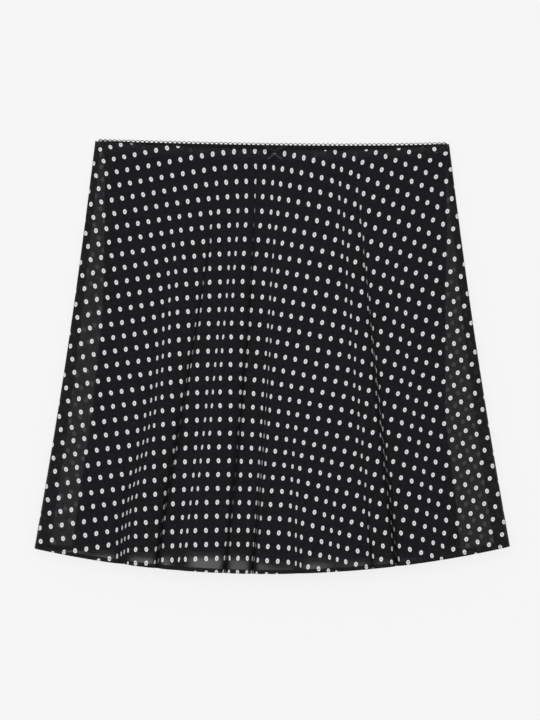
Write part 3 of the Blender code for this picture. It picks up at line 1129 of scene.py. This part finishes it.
def ribbon_loop(side):
    """Ribbon that leaves the knot, turns at its far end and comes back under itself."""
    run = np.linspace(0, 1, LOOP_ROWS)[:, None]
    column = np.linspace(-1, 1, RIBBON_COLUMNS)[None, :]
    open_share = np.sin(np.pi * run)
    out = KNOT[0] / 2 - LOOP_ROOT + (LOOP_LONG + LOOP_ROOT) * (1 - np.cos(2 * np.pi * run)) / 2
    crown = 1 - LOOP_CROWN * column**2
    high = LOOP_HIGH / 2 * (1 + np.sin(2 * np.pi * run) * open_share**LOOP_ROUND * crown)
    pinched, gained = LOOP_WIDTH
    wide = RIBBON / 2 * (pinched + gained * open_share**LOOP_FILLS) * column
    turn = math.radians(LOOP_TURN)
    out = out + np.maximum(0, wide) * math.sin(turn)
    x = side * (out * math.cos(turn) - wide * math.sin(turn))
    y = wide * math.cos(turn) + out * math.sin(turn)
    cut = ribbon_cut(RIBBON / 2 * column, 2 * LOOP_LONG * run)
    return on_front(x, y, high + 0 * column), cut


def ribbon_tail(side):
    """A short end, pinched at the knot and cut on a slant."""
    run = np.linspace(0, 1, TAIL_ROWS)[:, None]
    column = np.linspace(-1, 1, RIBBON_COLUMNS)[None, :]
    turn = math.radians(TAIL_TURN)
    pinched, gained = TAIL_WIDTH
    filled = np.sin(np.pi / 2 * np.minimum(1, TAIL_FILLS * run))
    wide = TAIL_WIDE / 2 * (pinched + gained * filled) * column
    out = run * (TAIL_LONG + TAIL_SLANT * column)
    root_y = -KNOT[1] / 2 + TAIL_UNDER - TAIL_WIDE / 2 * math.cos(turn)
    x = side * (TAIL_ROOT + out * math.cos(turn) + wide * math.sin(turn))
    y = root_y - out * math.sin(turn) + wide * math.cos(turn)
    z = WALL * (powers(TAIL_LIES, run) + TAIL_CUPPED * column**2)
    return on_front(x, y, z + 0 * x), ribbon_cut(RIBBON / 2 * column, TAIL_LONG * run)


def ribbon_knot():
    """Ribbon wrapped once over the middle, with soft gathers across it."""
    run = np.linspace(*KNOT_WRAP, KNOT_ROWS)[:, None]
    column = np.linspace(-1, 1, KNOT_COLUMNS)[None, :]
    turn = np.radians(run)
    upper = np.maximum(0, np.sin(turn))
    swell = 1 - KNOT_HOLLOW * column**2 + KNOT_GATHERS * np.cos(3 * np.pi * column) * upper
    y = KNOT[1] / 2 * np.cos(turn) * swell
    z = KNOT[2] / 2 * (1 + np.sin(turn) * swell)
    x = KNOT[0] / 2 * column * (1 - KNOT_NARROWS * upper) + 0 * run
    return on_front(x, y, z), ribbon_cut(RIBBON / 2 * column, KNOT[1] * np.pi * run / 360)


# the loops and knot take the painted shaded satin, the tails the painted lit satin
for name, (points, cut), finish, faces_up in (
    ("bow_loop_left", ribbon_loop(-1), shaded_satin_finish, False),
    ("bow_loop_right", ribbon_loop(1), shaded_satin_finish, True),
    ("bow_tail_left", ribbon_tail(-1), lit_satin_finish, False),
    ("bow_tail_right", ribbon_tail(1), lit_satin_finish, True),
    ("bow_knot", ribbon_knot(), shaded_satin_finish, True),
):
    ribbon = sheet_of(name + "_ribbon", points, cut, RIBBON_THICK, [finish], faces_up)
    settle(ribbon, "ribbon", name)

# ---------------------------------------------------------------------------
# Floor, light and camera

bpy.ops.object.select_all(action="DESELECT")
bpy.ops.mesh.primitive_plane_add(size=FLOOR_SIZE, location=(0, 0, FLOOR_Z))
floor = bpy.context.object
floor.name = "floor"
floor_paint = Paint(
    "floor_paper",
    Roughness=0.9,
    Specular_IOR_Level=0.0,
    Base_Color=colour(FLOOR_GREY, FLOOR_GREY, FLOOR_GREY),
    Emission_Color=colour(1, 1, 1),
    Emission_Strength=FLOOR_GLOW,
)
floor.data.materials.append(floor_paint.material)

world = bpy.context.scene.world or bpy.data.worlds.new("World")
bpy.context.scene.world = world
world.use_nodes = True
sky = world.node_tree.nodes["Background"]
sky.inputs["Color"].default_value = colour(1, 1, 1)
sky.inputs["Strength"].default_value = SKY_LIGHT

bpy.ops.object.light_add(type="AREA", location=LAMP_PLACE)
lamp = bpy.context.object
lamp.name = "soft_window"
lamp.data.size = LAMP_SIZE
lamp.data.energy = LAMP_WATTS
lamp.rotation_euler = (math.radians(LAMP_TURN), math.radians(LAMP_TURN), 0)

bpy.ops.object.camera_add(location=(CAMERA_X * MM, CAMERA_Y * MM, CAMERA_HEIGHT * MM))
camera = bpy.context.object
camera.data.sensor_width = SENSOR
camera.data.lens = SENSOR * CAMERA_HEIGHT / VIEW_TALL
camera.data.clip_end = CAMERA_FAR
bpy.context.scene.camera = camera
bpy.context.scene.view_settings.view_transform = "Standard"
